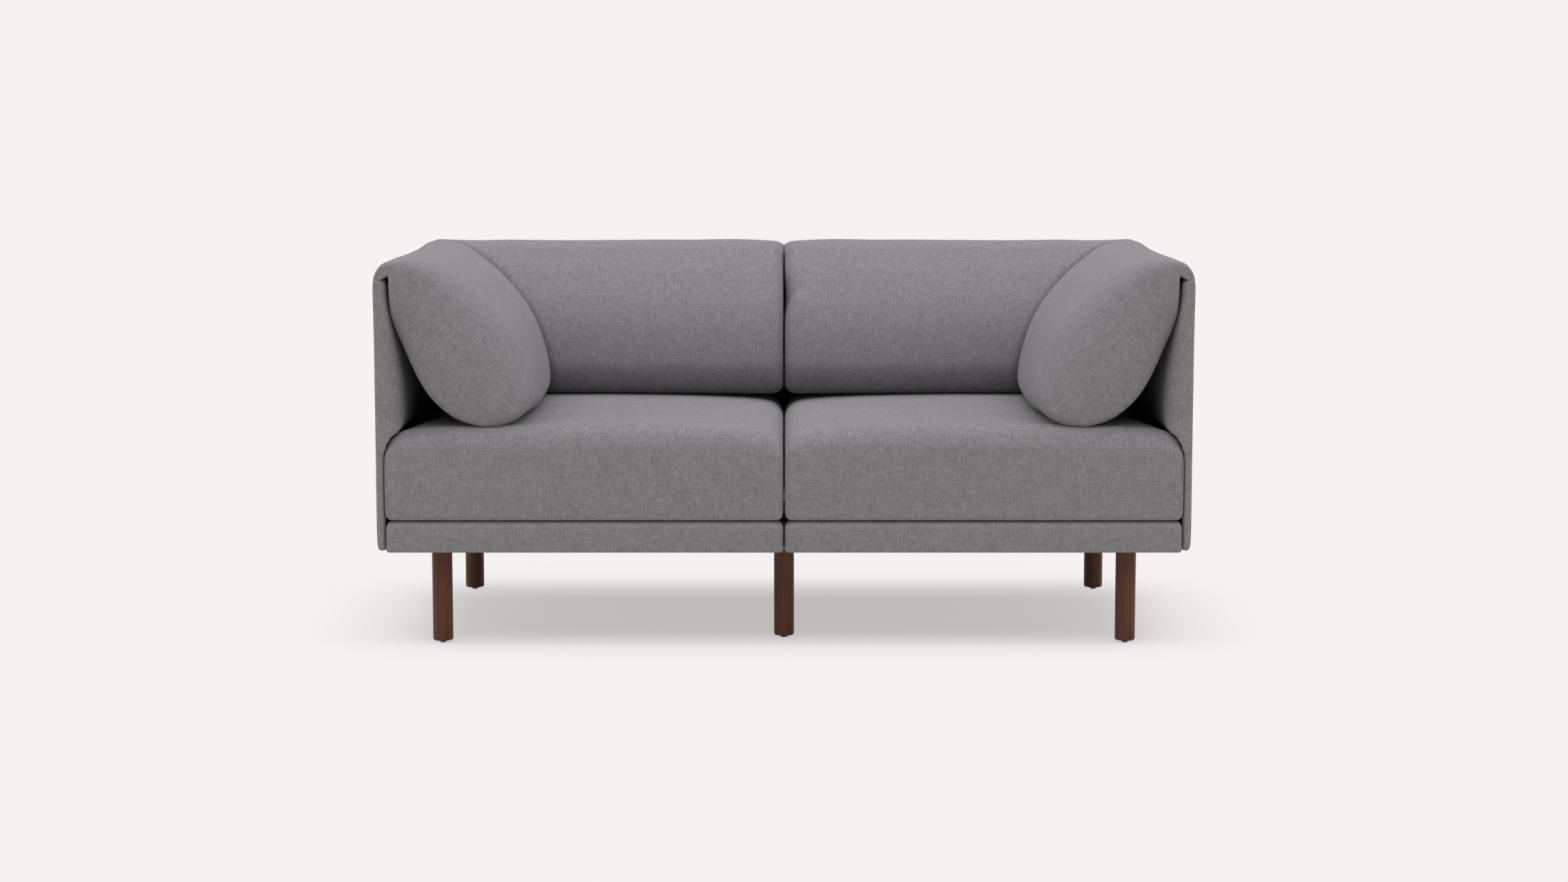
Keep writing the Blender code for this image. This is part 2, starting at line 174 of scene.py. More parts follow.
def bump(tree, shader, height, strength, distance):
    """Gives the shader its normals from a height."""
    made = node(tree, "ShaderNodeBump", Strength=strength, Distance=distance)
    feed(tree, made.inputs["Height"], height)
    feed(tree, shader.inputs["Normal"], made.outputs["Normal"])


def object_vector(tree, scale=None):
    """Coordinates along the object's own axes, in metres or scaled."""
    place = node(tree, "ShaderNodeTexCoord").outputs["Object"]
    if scale is None:
        return place
    return result(tree, "ShaderNodeMapping", place, Scale=scale)


def woven_fabric():
    """Heathered grey plain weave with slubs, with painted shade in the hollows where the threads dip
    under at the crossings; its UVs are metres of cloth.
    """
    made, shader, tree = material("woven_grey_fabric")
    pitch = 0.0014
    weft_slub, warp_slub = 0.018, 0.014
    weft_seed, warp_seed = 0.0, 7.3
    thread_step = 5.37
    # Strength of the painted shade at the crossings, and how high the crossings stand in the bump.
    crossing_painted_shade, crossing_height = 0.05, 0.5
    uv = node(tree, "ShaderNodeUVMap", uv_map="cloth")
    split = node(tree, "ShaderNodeSeparateXYZ")
    feed(tree, split.inputs[0], uv.outputs["UV"])
    across, along = split.outputs[:2]
    warps = math_node(tree, "DIVIDE", across, pitch)
    wefts = math_node(tree, "DIVIDE", along, pitch)

    def thread_tone(index, run, length, seed):
        """Tone of one thread: its own noise along its run, unlike its neighbours'."""
        own = math_node(tree, "MULTIPLY", math_node(tree, "FLOOR", index), thread_step)
        share = math_node(tree, "DIVIDE", run, length)
        return noise_of(tree, result(tree, "ShaderNodeCombineXYZ", share, own, seed), detail=1.0)

    def waves(index):
        """A thread up, the next one down."""
        return math_node(tree, "SINE", math_node(tree, "MULTIPLY", index, math.pi))

    weft_tone = thread_tone(wefts, across, weft_slub, weft_seed)
    warp_tone = thread_tone(warps, along, warp_slub, warp_seed)
    over = math_node(tree, "MULTIPLY", waves(warps), waves(wefts))
    thread_tones_and_shade = math_node(tree, "ADD", weft_tone, warp_tone)
    # Painted shade of the weave: lighter where a thread is on top, darker in the hollows where it dips
    # under.
    thread_tones_and_shade = math_node(tree, "ADD", thread_tones_and_shade, math_node(tree, "MULTIPLY", over, crossing_painted_shade))
    ramp(
        tree,
        shader,
        math_node(tree, "MULTIPLY", thread_tones_and_shade, 0.5),
        (0.25, (0.158, 0.153, 0.160)),
        (0.43, (0.217, 0.210, 0.218)),
        (0.57, (0.257, 0.249, 0.258)),
        (0.75, (0.335, 0.325, 0.334)),
    )
    height = math_node(tree, "ADD", math_node(tree, "MULTIPLY", over, crossing_height), thread_tones_and_shade)
    bump(tree, shader, height, strength=0.22, distance=0.0004)
    set_inputs(shader, Roughness=0.92, Specular_IOR_Level=0.15, Sheen_Weight=0.12, Sheen_Roughness=0.45)
    return made


def wood(name, dark, middle, light, along, grain, roughness, specular=0.5):
    """Straight-grained wood whose fibres run along one axis."""
    made, shader, tree = material(name)
    fibre_stretch = 0.035
    fibre_share = 0.6
    scale = [grain, grain, grain]
    scale[along] = grain * fibre_stretch
    place = object_vector(tree, scale)
    fibres = noise_of(tree, place, detail=6.0, roughness=0.62)
    bands = noise_of(tree, place, scale=0.22)
    tone = math_node(
        tree,
        "ADD",
        math_node(tree, "MULTIPLY", fibres, fibre_share),
        math_node(tree, "MULTIPLY", bands, 1 - fibre_share),
    )
    ramp(tree, shader, tone, (0.34, dark), (0.50, middle), (0.66, light))
    bump(tree, shader, fibres, strength=0.12, distance=0.0004)
    set_inputs(shader, Roughness=roughness, Specular_IOR_Level=specular)
    return made


def webbing_band():
    """Black elastic webbing with fine slanting ribs."""
    made, shader, tree = material("elastic_webbing")
    waves = node(tree, "ShaderNodeTexWave", wave_type="BANDS", bands_direction="DIAGONAL")
    set_inputs(waves, Scale=240.0, Distortion=0.4)
    feed(tree, waves.inputs["Vector"], object_vector(tree))
    ribs = waves.outputs["Fac"]
    ramp(tree, shader, ribs, (0.0, (0.020, 0.020, 0.022)), (1.0, (0.075, 0.072, 0.070)))
    bump(tree, shader, ribs, strength=0.5, distance=0.0004)
    set_inputs(shader, Roughness=0.85)
    return made


def lining_felt():
    """Black non-woven dust cover with its pressed dots."""
    made, shader, tree = material("dust_cover_felt")
    dots = result(tree, "ShaderNodeTexVoronoi", object_vector(tree), Scale=420.0)
    ramp(tree, shader, dots, (0.1, (0.012, 0.012, 0.013)), (0.7, (0.032, 0.032, 0.034)))
    bump(tree, shader, dots, strength=0.4, distance=0.0003)
    set_inputs(shader, Roughness=0.95)
    return made


def plated_steel():
    """Zinc-plated steel, brushed from front to back."""
    made, shader, tree = material("zinc_plated_steel")
    brushed = noise_of(tree, object_vector(tree, (900.0, 40.0, 900.0)), detail=3.0)
    ramp(tree, shader, brushed, (0.3, (0.44, 0.45, 0.46)), (0.7, (0.62, 0.63, 0.64)))
    bump(tree, shader, brushed, strength=0.1, distance=0.0002)
    set_inputs(shader, Roughness=0.36, Metallic=1.0)
    return made


def moulded_nylon():
    """Black moulded nylon with a fine grain."""
    made, shader, tree = material("black_nylon")
    grain = noise_of(tree, object_vector(tree), scale=1600.0, detail=3.0)
    ramp(tree, shader, grain, (0.3, (0.010, 0.010, 0.011)), (0.7, (0.024, 0.023, 0.023)))
    bump(tree, shader, grain, strength=0.2, distance=0.0001)
    set_inputs(shader, Roughness=0.42)
    return made


fabric = woven_fabric()
walnut_colors = ((0.078, 0.0290, 0.0155), (0.114, 0.0437, 0.0237), (0.150, 0.059, 0.033))
walnut = wood("stained_walnut", *walnut_colors, along=2, grain=420.0, roughness=0.46, specular=0.2)
timber_colors = ((0.40, 0.27, 0.15), (0.56, 0.41, 0.25), (0.66, 0.51, 0.34))
timber_x = wood("frame_timber_x", *timber_colors, along=0, grain=260.0, roughness=0.70)
timber_y = wood("frame_timber_y", *timber_colors, along=1, grain=260.0, roughness=0.70)
webbing = webbing_band()
lining = lining_felt()
steel = plated_steel()
nylon = moulded_nylon()


def arm_place(side):
    """Maps arrays of run, away and height to points, for an arm."""
    return lambda run, away, height: np.stack([side * (half_width - away), half_depth - run, height], -1)


def back_place(side):
    """Maps arrays of run, away and height to points, for a back."""
    return lambda run, away, height: np.stack([side * (half_width - run), half_depth - away, height], -1)


def smoothstep(low, high, value):
    """0 up to low, 1 from high on, and smooth between them; low may be the higher number."""
    share = np.clip((value - low) / (high - low), 0, 1)
    return share * share * (3 - 2 * share)


def smooth_loop(controls, steps=12):
    """Centripetal Catmull-Rom round a closed list of points, with the place of each control in it."""
    points = np.array(controls, float)
    count = len(points)
    dense = []
    for i in range(count):
        p = [points[(i + k) % count] for k in (-1, 0, 1, 2)]
        t = [0.0]
        for a, b in zip(p, p[1:]):
            t.append(t[-1] + max(np.linalg.norm(b - a), 1e-6) ** 0.5)
        for s in range(steps):
            u = t[1] + (t[2] - t[1]) * s / steps
            a = [(p[k] * (t[k + 1] - u) + p[k + 1] * (u - t[k])) / (t[k + 1] - t[k]) for k in range(3)]
            b = [(a[k] * (t[k + 2] - u) + a[k + 1] * (u - t[k])) / (t[k + 2] - t[k]) for k in range(2)]
            dense.append((b[0] * (t[2] - u) + b[1] * (u - t[1])) / (t[2] - t[1]))
    return np.array(dense), [i * steps for i in range(count)]


def resampled(points, count):
    """Count + 1 points at equal distances along an open line."""
    gaps = np.linalg.norm(np.diff(points, axis=0), axis=1)
    lengths = np.concatenate([[0], np.cumsum(gaps)])
    wanted = np.linspace(0, lengths[-1], count + 1)
    return np.stack([np.interp(wanted, lengths, points[:, k]) for k in range(points.shape[1])], -1)


def in_sides(points, starts, counts):
    """A closed loop in sides that start at given points, each in its own count of equal steps."""
    sides = []
    for start, stop, count in zip(starts, np.roll(starts, -1), counts):
        if stop <= start:
            stop += len(points)
        side = points[np.arange(start, stop + 1) % len(points)]
        sides.append(resampled(side, count)[:-1])
    return np.concatenate(sides)


def four_sided(controls, corners, rows, cross):
    """A smooth loop in sides of rows, cross, rows and cross steps that start at the corner controls."""
    dense, places = smooth_loop(controls)
    return in_sides(dense, [places[corner] for corner in corners], (rows, cross, rows, cross))


def loop_lengths(loop):
    """Distance round a closed loop at each point, and at the first point again."""
    gaps = np.linalg.norm(np.roll(loop, -1, 0) - loop, axis=1)
    return np.concatenate([[0], np.cumsum(gaps)])


def grid_sides(ring, rows, cross):
    """The sides of a ring as they run in the grid over it: the first, the third and the two between."""
    third = ring[rows + cross : 2 * rows + cross + 1][::-1]
    return ring[: rows + 1], third, ring[-np.arange(cross + 1)], ring[rows : rows + cross + 1]


def coons(loop, rows, cross):
    """Points of a grid over a four-sided loop; each row runs from the loop's first side to its third."""
    s = np.linspace(0, 1, rows + 1)[:, None, None]
    t = np.linspace(0, 1, cross + 1)[None, :, None]
    first, third, near, far = grid_sides(loop, rows, cross)
    ruled = first[:, None] * (1 - t) + third[:, None] * t
    near_chord = first[0] * (1 - t) + third[0] * t
    far_chord = first[-1] * (1 - t) + third[-1] * t
    return ruled + (1 - s) ** 2 * (near - near_chord) + s**2 * (far - far_chord)


def new_object(name, data):
    """A new object, linked to the scene."""
    made = bpy.data.objects.new(name, data)
    bpy.context.scene.collection.objects.link(made)
    return made


class Shell:
    """Gathers points and faces with cloth UVs, then makes one closed object."""

    def __init__(self):
        self.points = []
        self.faces = []
        self.uvs = []
        self.count = 0

    def add(self, points):
        """Adds points and returns their indices."""
        points = np.reshape(points, (-1, 3))
        first = self.count
        self.points.append(points)
        self.count += len(points)
        return np.arange(first, self.count)

    def band(self, near, far, near_uv, far_uv):
        """Faces between two closed rings; the UV rows hold one more entry than the rings."""
        count = len(near)
        for i in range(count):
            j = (i + 1) % count
            self.faces.append((near[i], near[j], far[j], far[i]))
            self.uvs.append((near_uv[i], near_uv[i + 1], far_uv[i + 1], far_uv[i]))

    def skin(self, rings, uvs):
        """Adds closed rings of points with faces from each to the next, and returns their indices."""
        indices = [self.add(ring) for ring in rings]
        for k in range(len(rings) - 1):
            self.band(indices[k], indices[k + 1], uvs[k], uvs[k + 1])
        return indices

    def cap(self, ring, points, uv, rows, cross):
        """Faces over a ring, by a grid of points and UVs whose border is the ring."""
        index = np.zeros((rows + 1, cross + 1), int)
        index[:, 0], index[:, -1], index[0], index[-1] = grid_sides(ring, rows, cross)
        index[1:-1, 1:-1] = self.add(points[1:-1, 1:-1]).reshape(rows - 1, cross - 1)
        for j in range(rows):
            for m in range(cross):
                corners = ((j, m), (j + 1, m), (j + 1, m + 1), (j, m + 1))
                self.faces.append(tuple(index[c] for c in corners))
                self.uvs.append(tuple(uv[c] for c in corners))

    def finish(self, name, finish):
        """The object, with its faces turned outwards."""
        mesh = bpy.data.meshes.new(name)
        faces = [[int(i) for i in face] for face in self.faces]
        mesh.from_pydata(np.concatenate(self.points).tolist(), [], faces)
        layer = mesh.uv_layers.new(name="cloth")
        layer.data.foreach_set("uv", np.array(self.uvs, float).reshape(-1))
        bm = bmesh.new()
        bm.from_mesh(mesh)
        bmesh.ops.recalc_face_normals(bm, faces=bm.faces)
        bm.to_mesh(mesh)
        bm.free()
        mesh.shade_smooth()
        mesh.materials.append(finish)
        return new_object(name, mesh)


def subdivide(obj):
    """Smooths an object by one subdivision."""
    modifier = obj.modifiers.new("smooth", "SUBSURF")
    modifier.levels = 1
    modifier.render_levels = 1


# Section of an arm or back cushion with its flap, as (away, height): from the middle of its underside up
# the hanging side, under the flap to the panel's outer face, over the crest and down the leaning face.
hung_section = (
    (0.2050, 0.4368), (0.1800, 0.4385), (0.1500, 0.4485), (0.1244, 0.4668), (0.1008, 0.4909),
    (0.0808, 0.5220), (0.0655, 0.5536), (0.0492, 0.5940), (0.0363, 0.6290), (0.0308, 0.6580),
    (0.0298, 0.6925), (0.0297, 0.7130), (0.0296, 0.7232), (0.0284, 0.7270), (0.0264, 0.7256),
    (0.0238, 0.7226), (0.0170, 0.7206), (0.0070, 0.7204), (0.0004, 0.7204), (0.0000, 0.7208),
    (0.0001, 0.7252), (0.0018, 0.7305), (0.0048, 0.7378), (0.0096, 0.7448), (0.0163, 0.7503),
    (0.0260, 0.7533), (0.0420, 0.7548), (0.0600, 0.7547), (0.0760, 0.7532), (0.0950, 0.7493),
    (0.1162, 0.7425), (0.1445, 0.7262), (0.1803, 0.7012), (0.2050, 0.6790), (0.2300, 0.6530),
    (0.2500, 0.6280), (0.2700, 0.5930), (0.2840, 0.5580), (0.2935, 0.5240), (0.2985, 0.4930),
    (0.2990, 0.4760), (0.2960, 0.4600), (0.2880, 0.4475), (0.2760, 0.4405), (0.2600, 0.4373),
    (0.2350, 0.4366),
)
# The points of the section where the four sides of its grid start.
hung_corners = (0, 18, 21, 39)
# The line that the ends roll in towards.
hung_spine = (
    (0.250, 0.484), (0.228, 0.520), (0.195, 0.575), (0.155, 0.635), (0.115, 0.680),
    (0.075, 0.715), (0.048, 0.733), (0.025, 0.7385), (0.012, 0.7370),
)
hung_rows = 66
hung_cross = 22
# How far the cloth on an end face is turned.
end_cloth_tilt = math.radians(32)


def towards_line(loop, line):
    """Unit steps from each point of a loop to about the nearest point of a line, and how far that is."""
    fine = resampled(np.array(line), 160)
    apart = fine[None] - loop[:, None]
    nearest = np.linalg.norm(apart, axis=2).argmin(1)
    steps = apart[np.arange(len(loop)), nearest]
    for _ in range(6):
        steps = (np.roll(steps, 1, 0) + 2 * steps + np.roll(steps, -1, 0)) / 4
    far = np.linalg.norm(steps, axis=1, keepdims=True)
    return steps / far, far[:, 0]


def turned_sideways(loop, inward, share):
    """Inward steps that turn, by a share, to run level towards the middle of the panel's thickness."""
    middle, softness = 0.0118, 0.009
    level = np.clip((middle - loop[:, 0]) / softness, -1, 1)
    sideways = np.stack([level, np.zeros(len(loop))], -1)
    return inward + (sideways - inward) * share[:, None]


# Rise of the crest along the run, read off the top outline in the photograph.
arm_crest = (
    (0.00, 0.0036), (0.06, 0.0036), (0.11, 0.0016), (0.18, -0.0018), (0.26, -0.0038),
    (0.43, -0.0022), (0.53, 0.0), (0.63, 0.0025), (0.83, 0.0050),
)
back_crest = (
    (0.000, 0.0036), (0.045, 0.0032), (0.086, 0.0012), (0.129, 0.0003), (0.186, 0.0021),
    (0.300, 0.0006), (0.370, 0.0009), (0.457, 0.0014), (0.514, 0.0023), (0.600, 0.0018),
    (0.685, 0.0038), (0.742, 0.0030), (0.800, 0.0030),
)
# How the front of an arm cushion sags over the seat's edge, and how its lower corner rounds there.
front_sag = (
    (0.15, 0.0), (0.18, -0.0020), (0.20, -0.0062), (0.215, -0.0072), (0.235, -0.0055),
    (0.25, -0.0010), (0.262, 0.0040), (0.275, 0.0090), (0.290, 0.0140), (0.302, 0.0120),
)
# An end's rolled edges as (inset, reach), round the leaning side, the hanging side and the flap. How far
# the end domes, the bag widens, its lower part is tucked in and the flap reaches past it. The rises of
# the crest, its fall at the end, and the share of the sag at the front.
arm_form = {
    "lean_roll": (0.062, 0.075),
    "hang_roll": (0.024, 0.028),
    "flap_roll": (0.0110, 0.0140),
    "dome": 0.017,
    "widen": 0.003,
    "tuck": 0.0,
    "fill": 0.0,
    "crest": arm_crest,
    "end_fall": 0.0,
    "sag": 1.0,
}
back_form = {
    "lean_roll": (0.032, 0.035),
    "hang_roll": (0.024, 0.026),
    "flap_roll": (0.0117, 0.0240),
    "dome": 0.0005,
    "widen": 0.0,
    "tuck": 0.013,
    "fill": 0.0022,
    "crest": back_crest,
    "end_fall": 0.0062,
    "sag": 0.0,
}


def eased(table, places):
    """Values of a table at places along it, with its corners smoothed."""
    margin, spread, reach = 0.1, 0.018, 40
    fine = np.linspace(table[0][0] - margin, table[-1][0] + margin, 400)
    values = np.interp(fine, *np.array(table).T)
    kernel = np.exp(-(((np.arange(-reach, reach + 1) * (fine[1] - fine[0])) / spread) ** 2))
    smooth = np.convolve(np.pad(values, reach, mode="edge"), kernel / kernel.sum(), mode="valid")
    return np.interp(places, fine, smooth)


def hung_cushion(name, body, nodes, place, end, form):
    """A cushion that hangs by its flap, from the mitre at the corner to a domed end face."""
    rows, cross = hung_rows, hung_cross
    loop = four_sided(hung_section, hung_corners, rows, cross)
    inward, room = towards_line(loop, hung_spine)
    around = loop_lengths(loop)
    dome = form["dome"]
    leaning = np.array([0.75, 0.66])
    lean = smoothstep(-0.3, 0.8, -inward @ leaning)
    # 0 round the flap and 1 round the bag, which starts lower on the hanging side.
    bag = smoothstep(0.035, 0.130, loop[:, 0] + 1.1 * np.clip(0.700 - loop[:, 1], 0, 1))

    def rolled(which):
        """The end's inset or reach: wide round the leaning side, less behind, tight round the flap."""
        wide, narrow, flap = (form[part][which] for part in ("lean_roll", "hang_roll", "flap_roll"))
        return flap + (narrow + (wide - narrow) * lean - flap) * bag

    # The edges roll in by at most these shares of the room to the spine.
    end_room, mitre_room = 0.72, 0.5
    inset = np.minimum(rolled(0), end_room * room)
    reach = rolled(1)
    # Under the flap the end turns in sideways only, so that it runs on into the panel's front edge.
    under = smoothstep(0.7335, 0.7225, loop[:, 1]) * smoothstep(0.0245, 0.0200, loop[:, 0])
    end_inward = turned_sideways(loop, inward, under)
    mitre_inset = np.minimum(0.004 + 0.010 * bag, mitre_room * room)
    mitre_reach = 0.006 + 0.010 * bag
    last_turn = math.radians(74)
    roll_steps, stations = 9, 44

    def lifted(run, section):
        """Heights with the crest's slow rises and falls, and the sag at the front of an arm."""
        away, height = section.T
        upper = smoothstep(0.66, 0.75, height) * (0.15 + 0.85 * smoothstep(0.0, 0.030, away))
        rise = eased(form["crest"], run) - form["end_fall"] * np.exp(-(end - run) / 0.040)
        shoulder = smoothstep(0.728, 0.740, height) * smoothstep(0.045, 0.015, away)
        shoulder = shoulder * smoothstep(0.10, 0.03, run)
        lower = smoothstep(0.530, 0.455, height) * smoothstep(0.55, 0.82, run)
        sag = np.interp(away, *np.array(front_sag).T)
        return height + rise * upper - 0.0034 * shoulder + form["sag"] * sag * lower

    def widened(run, section):
        """Distances from the panel's outer face; the bag widens along the run and is tucked in below."""
        away, height = section.T
        widen = form["widen"] * smoothstep(0.02, 0.30, run) * smoothstep(0.030, 0.060, away)
        tuck = form["tuck"] * smoothstep(0.510, 0.445, height) * smoothstep(0.21, 0.28, away)
        return away + widen - tuck

    def placed(section, run):
        return place(run, widened(run, section), lifted(run, section))

    def body_uv(run):
        return np.stack([np.append(run, run[0]), -around], -1)

    cosine, sine = math.cos(end_cloth_tilt), math.sin(end_cloth_tilt)
    turn_uv = np.array([[cosine, sine], [-sine, cosine]])

    def face_uv(section, spread):
        """Cloth places on the end face, laid out flat past its rolled edge."""
        flat = (section - inward * spread[:, None]) @ turn_uv
        return np.concatenate([flat, flat[:1]])

    # Rings as (section, run, UVs): the roll at the mitre, the cushion's length and the roll at its end.
    rings = []
    for k in range(roll_steps, -1, -1):
        turn = last_turn * k / roll_steps
        section = loop + inward * (mitre_inset * (1 - math.cos(turn)))[:, None]
        run = section[:, 0] + mitre_gap + mitre_reach * (1 - math.sin(turn))
        rings.append((section, run, body_uv(run)))
    start = rings[-1][1]
    straight = end - reach - dome * bag + form["fill"] * (1 - bag)
    most_swell = 0.0035
    for k in range(1, stations):
        share = k / stations
        section = loop.copy()
        section[:, 0] += most_swell * math.sin(math.pi * share) * smoothstep(0.08, 0.28, loop[:, 0])
        run = start + (straight - start) * share
        rings.append((section, run, body_uv(run)))
    rings.append((loop, straight, body_uv(straight)))
    # The end's first ring is the last one again, with the UVs of the end face.
    body_count = len(rings)
    for k in range(roll_steps + 1):
        turn = last_turn * k / roll_steps
        section = loop + end_inward * (inset * (1 - math.cos(turn)))[:, None]
        run = straight + reach * math.sin(turn)
        rings.append((section, run, face_uv(section, reach * (last_turn - turn))))
    shell = Shell()
    indices = []
    for k, (section, run, _) in enumerate(rings):
        indices.append(indices[-1] if k == body_count else shell.add(placed(section, run)))
    for k in range(len(rings) - 1):
        if k + 1 != body_count:
            shell.band(indices[k], indices[k + 1], rings[k][2], rings[k + 1][2])
    for which in (0, -1):
        section, run, _ = rings[which]
        grid = coons(np.concatenate([section, run[:, None]], 1), rows, cross)
        if which == -1:
            across = np.linspace(-1, 1, cross + 1)[None]
            along = np.linspace(0, 1, rows + 1)[:, None]
            widths = np.linalg.norm(grid[:, 0, :2] - grid[:, -1, :2], axis=1)[:, None]
            share = (widths / widths.max()) ** 1.5
            grid[..., 2] += dome * (1 - across**2) * share * (1 - (1 - along) ** 8)
        flat = grid[..., :2].reshape(-1, 2)
        points = placed(flat, grid[..., 2].reshape(-1)).reshape(rows + 1, cross + 1, 3)
        shell.cap(indices[which], points, (flat @ turn_uv).reshape(rows + 1, cross + 1, 2), rows, cross)
    made = shell.finish(name, fabric)
    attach(made, body)
    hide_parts(*nodes)
    return made


# The fold beside the middle, from the front, as (place along X, height, slope).
fold_line = (
    (0.0000, 0.5900, 5.0), (0.0035, 0.6020, 5.0), (0.0077, 0.6220, 3.0), (0.0203, 0.6443, 1.4),
    (0.0302, 0.6555, 0.9), (0.0470, 0.6638, 0.4),
)


def fold_in(obj):
    """Presses a back cushion in above a fold that runs up from its end at the middle."""
    mesh = obj.data
    points = np.empty(len(mesh.vertices) * 3)
    mesh.vertices.foreach_get("co", points)
    points = points.reshape(-1, 3)
    x, y, z = points.T
    places, heights, slopes = np.array(fold_line).T
    beside = (z - np.interp(x, places, heights)) / np.hypot(1, np.interp(x, places, slopes))
    above = smoothstep(-0.0006, 0.0028, beside)
    front = smoothstep(0.33, 0.25, y)
    fade = smoothstep(0.056, 0.022, x)
    pressed = 0.0440 * np.exp(-x / 0.0125) * smoothstep(0.704, 0.648, z)
    hollow = 0.0075 * fade * np.exp(-np.clip(beside, 0, 1) / 0.012)
    groove = 0.0045 * fade * np.exp(-((beside / 0.0030) ** 2)) * smoothstep(0.600, 0.622, z)
    aside = smoothstep(0.600, 0.626, z) * smoothstep(0.674, 0.636, z) * np.exp(-((x / 0.012) ** 2))
    moves = np.zeros_like(points)
    moves[:, 0] = 0.0016 * aside * front
    moves[:, 1] = ((pressed + hollow) * above + groove) * front
    mesh.vertices.foreach_set("co", (points + moves).reshape(-1))
    mesh.update()


def seat_drop(inboard):
    """How far a seat's top falls below its crown, this far in from its side."""
    return 0.0267 * np.exp(-inboard / 0.0127) + 0.017 * np.exp(-inboard / 0.12)


def seat_cushion(name, side, body, node_name):
    """A box cushion whose top and front are one piece of cloth, sewn to a panel at each side."""
    # The cloth stands a little proud of the node, except in front and behind.
    low_x, high_x = seat_box[0].x - 0.0009, seat_box[1].x + 0.0012
    crest = seat_top + 0.0020
    front, back = seat_box[0].y, seat_box[1].y
    front_roll, back_roll, foot = 0.050, 0.036, 0.011
    rows, cross = 60, 20
    roll_steps, foot_steps = 14, 5
    # How softly the falls to the sides and to the front and back run into each other.
    rounding = 1.3
    least_inboard = 0.0020

    def section(x, inboard, inset):
        """Y and Z of the profile at x, a distance in from the nearer side, drawn in by inset."""
        inboard = max(inboard, least_inboard)
        drop = float(seat_drop(inboard))
        # The underside rises to the seams of the side panels.
        rest = seat_rest + 0.0085 * math.exp(-inboard / 0.004)
        turns = np.linspace(0, quarter, roll_steps + 1)
        front_y = front + front_roll * (1 - np.cos(turns))
        back_y = back - back_roll * (1 - np.cos(turns))
        middle = np.linspace(front_y[-1], back_y[-1], rows - 2 * roll_steps + 1)[1:-1]
        top_y = np.concatenate([front_y, middle, back_y[::-1]])
        fall = np.zeros(len(top_y))
        fall[: roll_steps + 1] = front_roll * (1 - np.sin(turns))
        fall[-roll_steps - 1 :] = (back_roll * (1 - np.sin(turns)))[::-1]
        # The arm cushion presses the seat down, behind a line that slants back away from the arm.
        from_arm = high_x - x
        dent_start = 0.042 + 4.0 * min(max(from_arm - 0.030, 0.0), 0.05)
        dent = 0.020 * smoothstep(0.22, 0.09, from_arm)
        dent = dent * smoothstep(0.0, 0.09, top_y - front - dent_start)
        dent = dent * smoothstep(0.0, 0.08, back - top_y)
        top_z = crest - (drop**rounding + fall**rounding) ** (1 / rounding) - dent
        arc = np.linspace(0, quarter, foot_steps + 1)[:-1]
        rise = np.linspace(0, 1, cross - foot_steps + 1)

        def upright(face, high, way):
            """Points up the front or the back, from the round foot to where the top begins."""
            arc_y = face + way * foot * (1 - np.sin(arc))
            lip = 0.0020 * np.exp(-(((arc_y - face) / (way * 0.006)) ** 2))
            arc_z = rest + foot * (1 - np.cos(arc)) - lip
            wall_z = rest + foot + (high - rest - foot) * rise
            belly = -way * 0.0015 * np.sin(math.pi * rise)
            return np.stack([np.append(arc_y, face + belly), np.append(arc_z, wall_z)], -1)

        front_wall = upright(front, top_z[0], 1)
        back_wall = upright(back, top_z[-1], -1)[::-1]
        share = (top_y[::-1] - front) / (back - front)
        under_y = front + foot + (back - front - 2 * foot) * share
        under = np.stack([under_y, np.full(len(under_y), rest)], -1)
        top = np.stack([top_y, top_z], -1)
        loop = np.concatenate([under[:-1], front_wall[:-1], top[:-1], back_wall[:-1]])
        if inset:
            centre = np.array([(front + back) / 2, (rest + top_z.max()) / 2])
            half = np.array([(back - front) / 2, (top_z.max() - rest) / 2])
            loop = centre + (loop - centre) * (1 - inset / half)
        return loop

    # Each section's distance in from a side, and its inset: round the edge, over the seam, then inwards.
    edge = ((0.0, 0.0084), (0.0007, 0.0048), (0.0018, 0.0022), (0.0030, 0.0004))
    seam = ((0.0044, 0.0003), (0.0054, 0.0020), (0.0064, 0.0002), (0.0080, 0), (0.0105, 0))
    flat = (0.014, 0.019, 0.026, 0.035, 0.046, 0.060, 0.078, 0.100, 0.130, 0.170, 0.215, 0.265, 0.320)
    half_stations = [*edge, *seam, *((inboard, 0) for inboard in flat)]
    width = high_x - low_x
    stations = [(low_x + p, p, i) for p, i in half_stations]
    stations += [(low_x + width / 2, width / 2, 0)]
    stations += [(high_x - p, p, i) for p, i in half_stations[::-1]]
    loops = [section(*station) for station in stations]
    rings = []
    uvs = []
    for (x, _, _), loop in zip(stations, loops):
        lengths = loop_lengths(loop)
        rings.append(np.stack([np.full(len(loop), side * x), loop[:, 0], loop[:, 1]], -1))
        uvs.append(np.stack([np.full(len(lengths), side * x), lengths - lengths[rows]], -1))
    shell = Shell()
    indices = shell.skin(rings, uvs)
    for which, way in ((0, -1), (-1, 1)):
        grid = coons(loops[which], rows, cross)
        across = np.linspace(-1, 1, cross + 1)[None]
        along = np.linspace(-1, 1, rows + 1)[:, None]
        belly = 0.0006 * (1 - across**2) * (1 - along**4)
        points = np.concatenate([(side * (stations[which][0] + way * belly))[..., None], grid], -1)
        shell.cap(indices[which], points, grid, rows, cross)
    made = shell.finish(name, fabric)
    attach(made, body)
    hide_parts(node_name)
    return made


# A panel's thickness at its foot and at its head.
panel_foot = 0.017
panel_head = 0.0235
